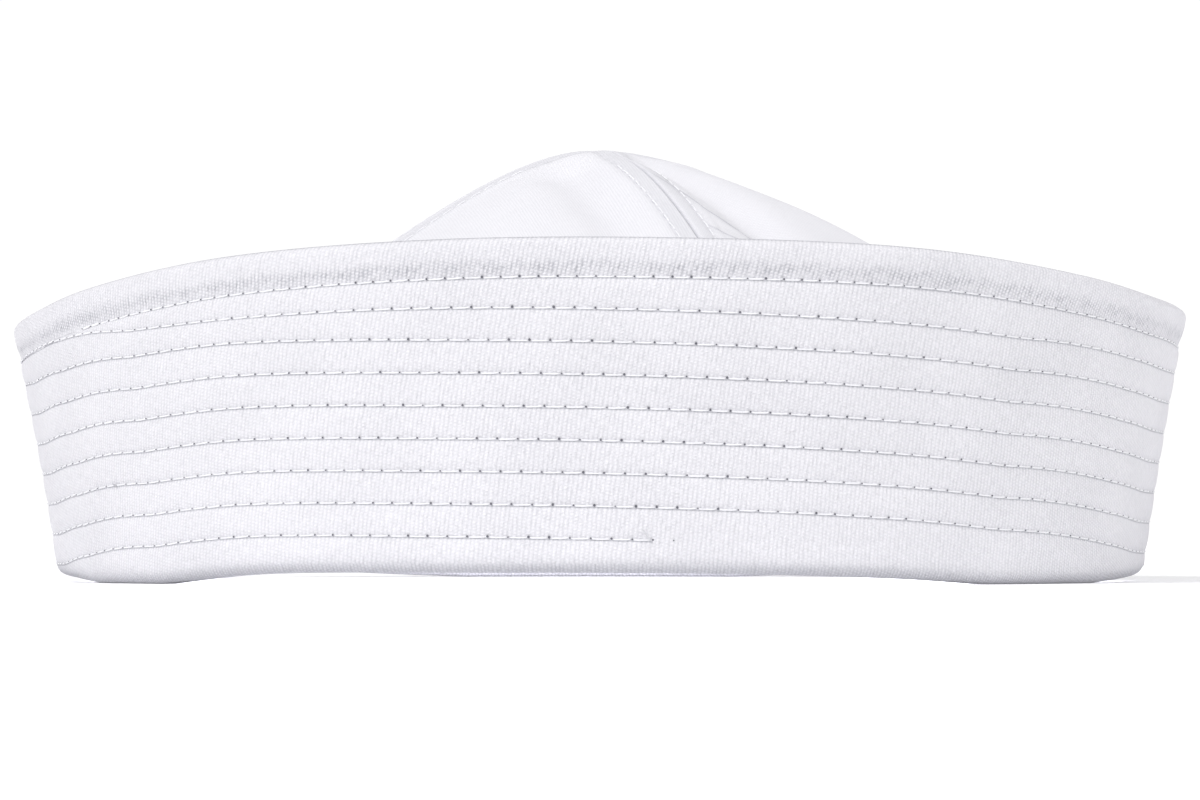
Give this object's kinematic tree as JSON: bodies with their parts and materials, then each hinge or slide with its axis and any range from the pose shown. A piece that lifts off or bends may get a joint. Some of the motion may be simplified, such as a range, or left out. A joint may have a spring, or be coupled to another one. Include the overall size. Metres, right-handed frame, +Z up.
{
  "type": "sailor cap",
  "caption": "Sailor cap in white cotton twill: a low domed crown sewn from gores inside a deep brim that is turned up all round and topstitched in rows.",
  "frame": {"origin": "on the surface that the cap stands on, under the middle of its round plan", "axes": "+Z up through the crown, -Y towards the front of the cap, +X towards its right-hand side as seen from the front"},
  "size_m": [0.2064, 0.2064, 0.0761],
  "materials": {
    "brim_twill": "white cotton twill, doubled and topstitched in rows with white thread, matt",
    "crown_twill": "white cotton twill in one layer, matt"
  },
  "bodies": {
    "root": {"brim": "brim_twill", "crown_panel_front": "crown_twill", "crown_panel_right": "crown_twill", "crown_panel_back": "crown_twill", "crown_panel_left": "crown_twill"}
  },
  "joints": []
}
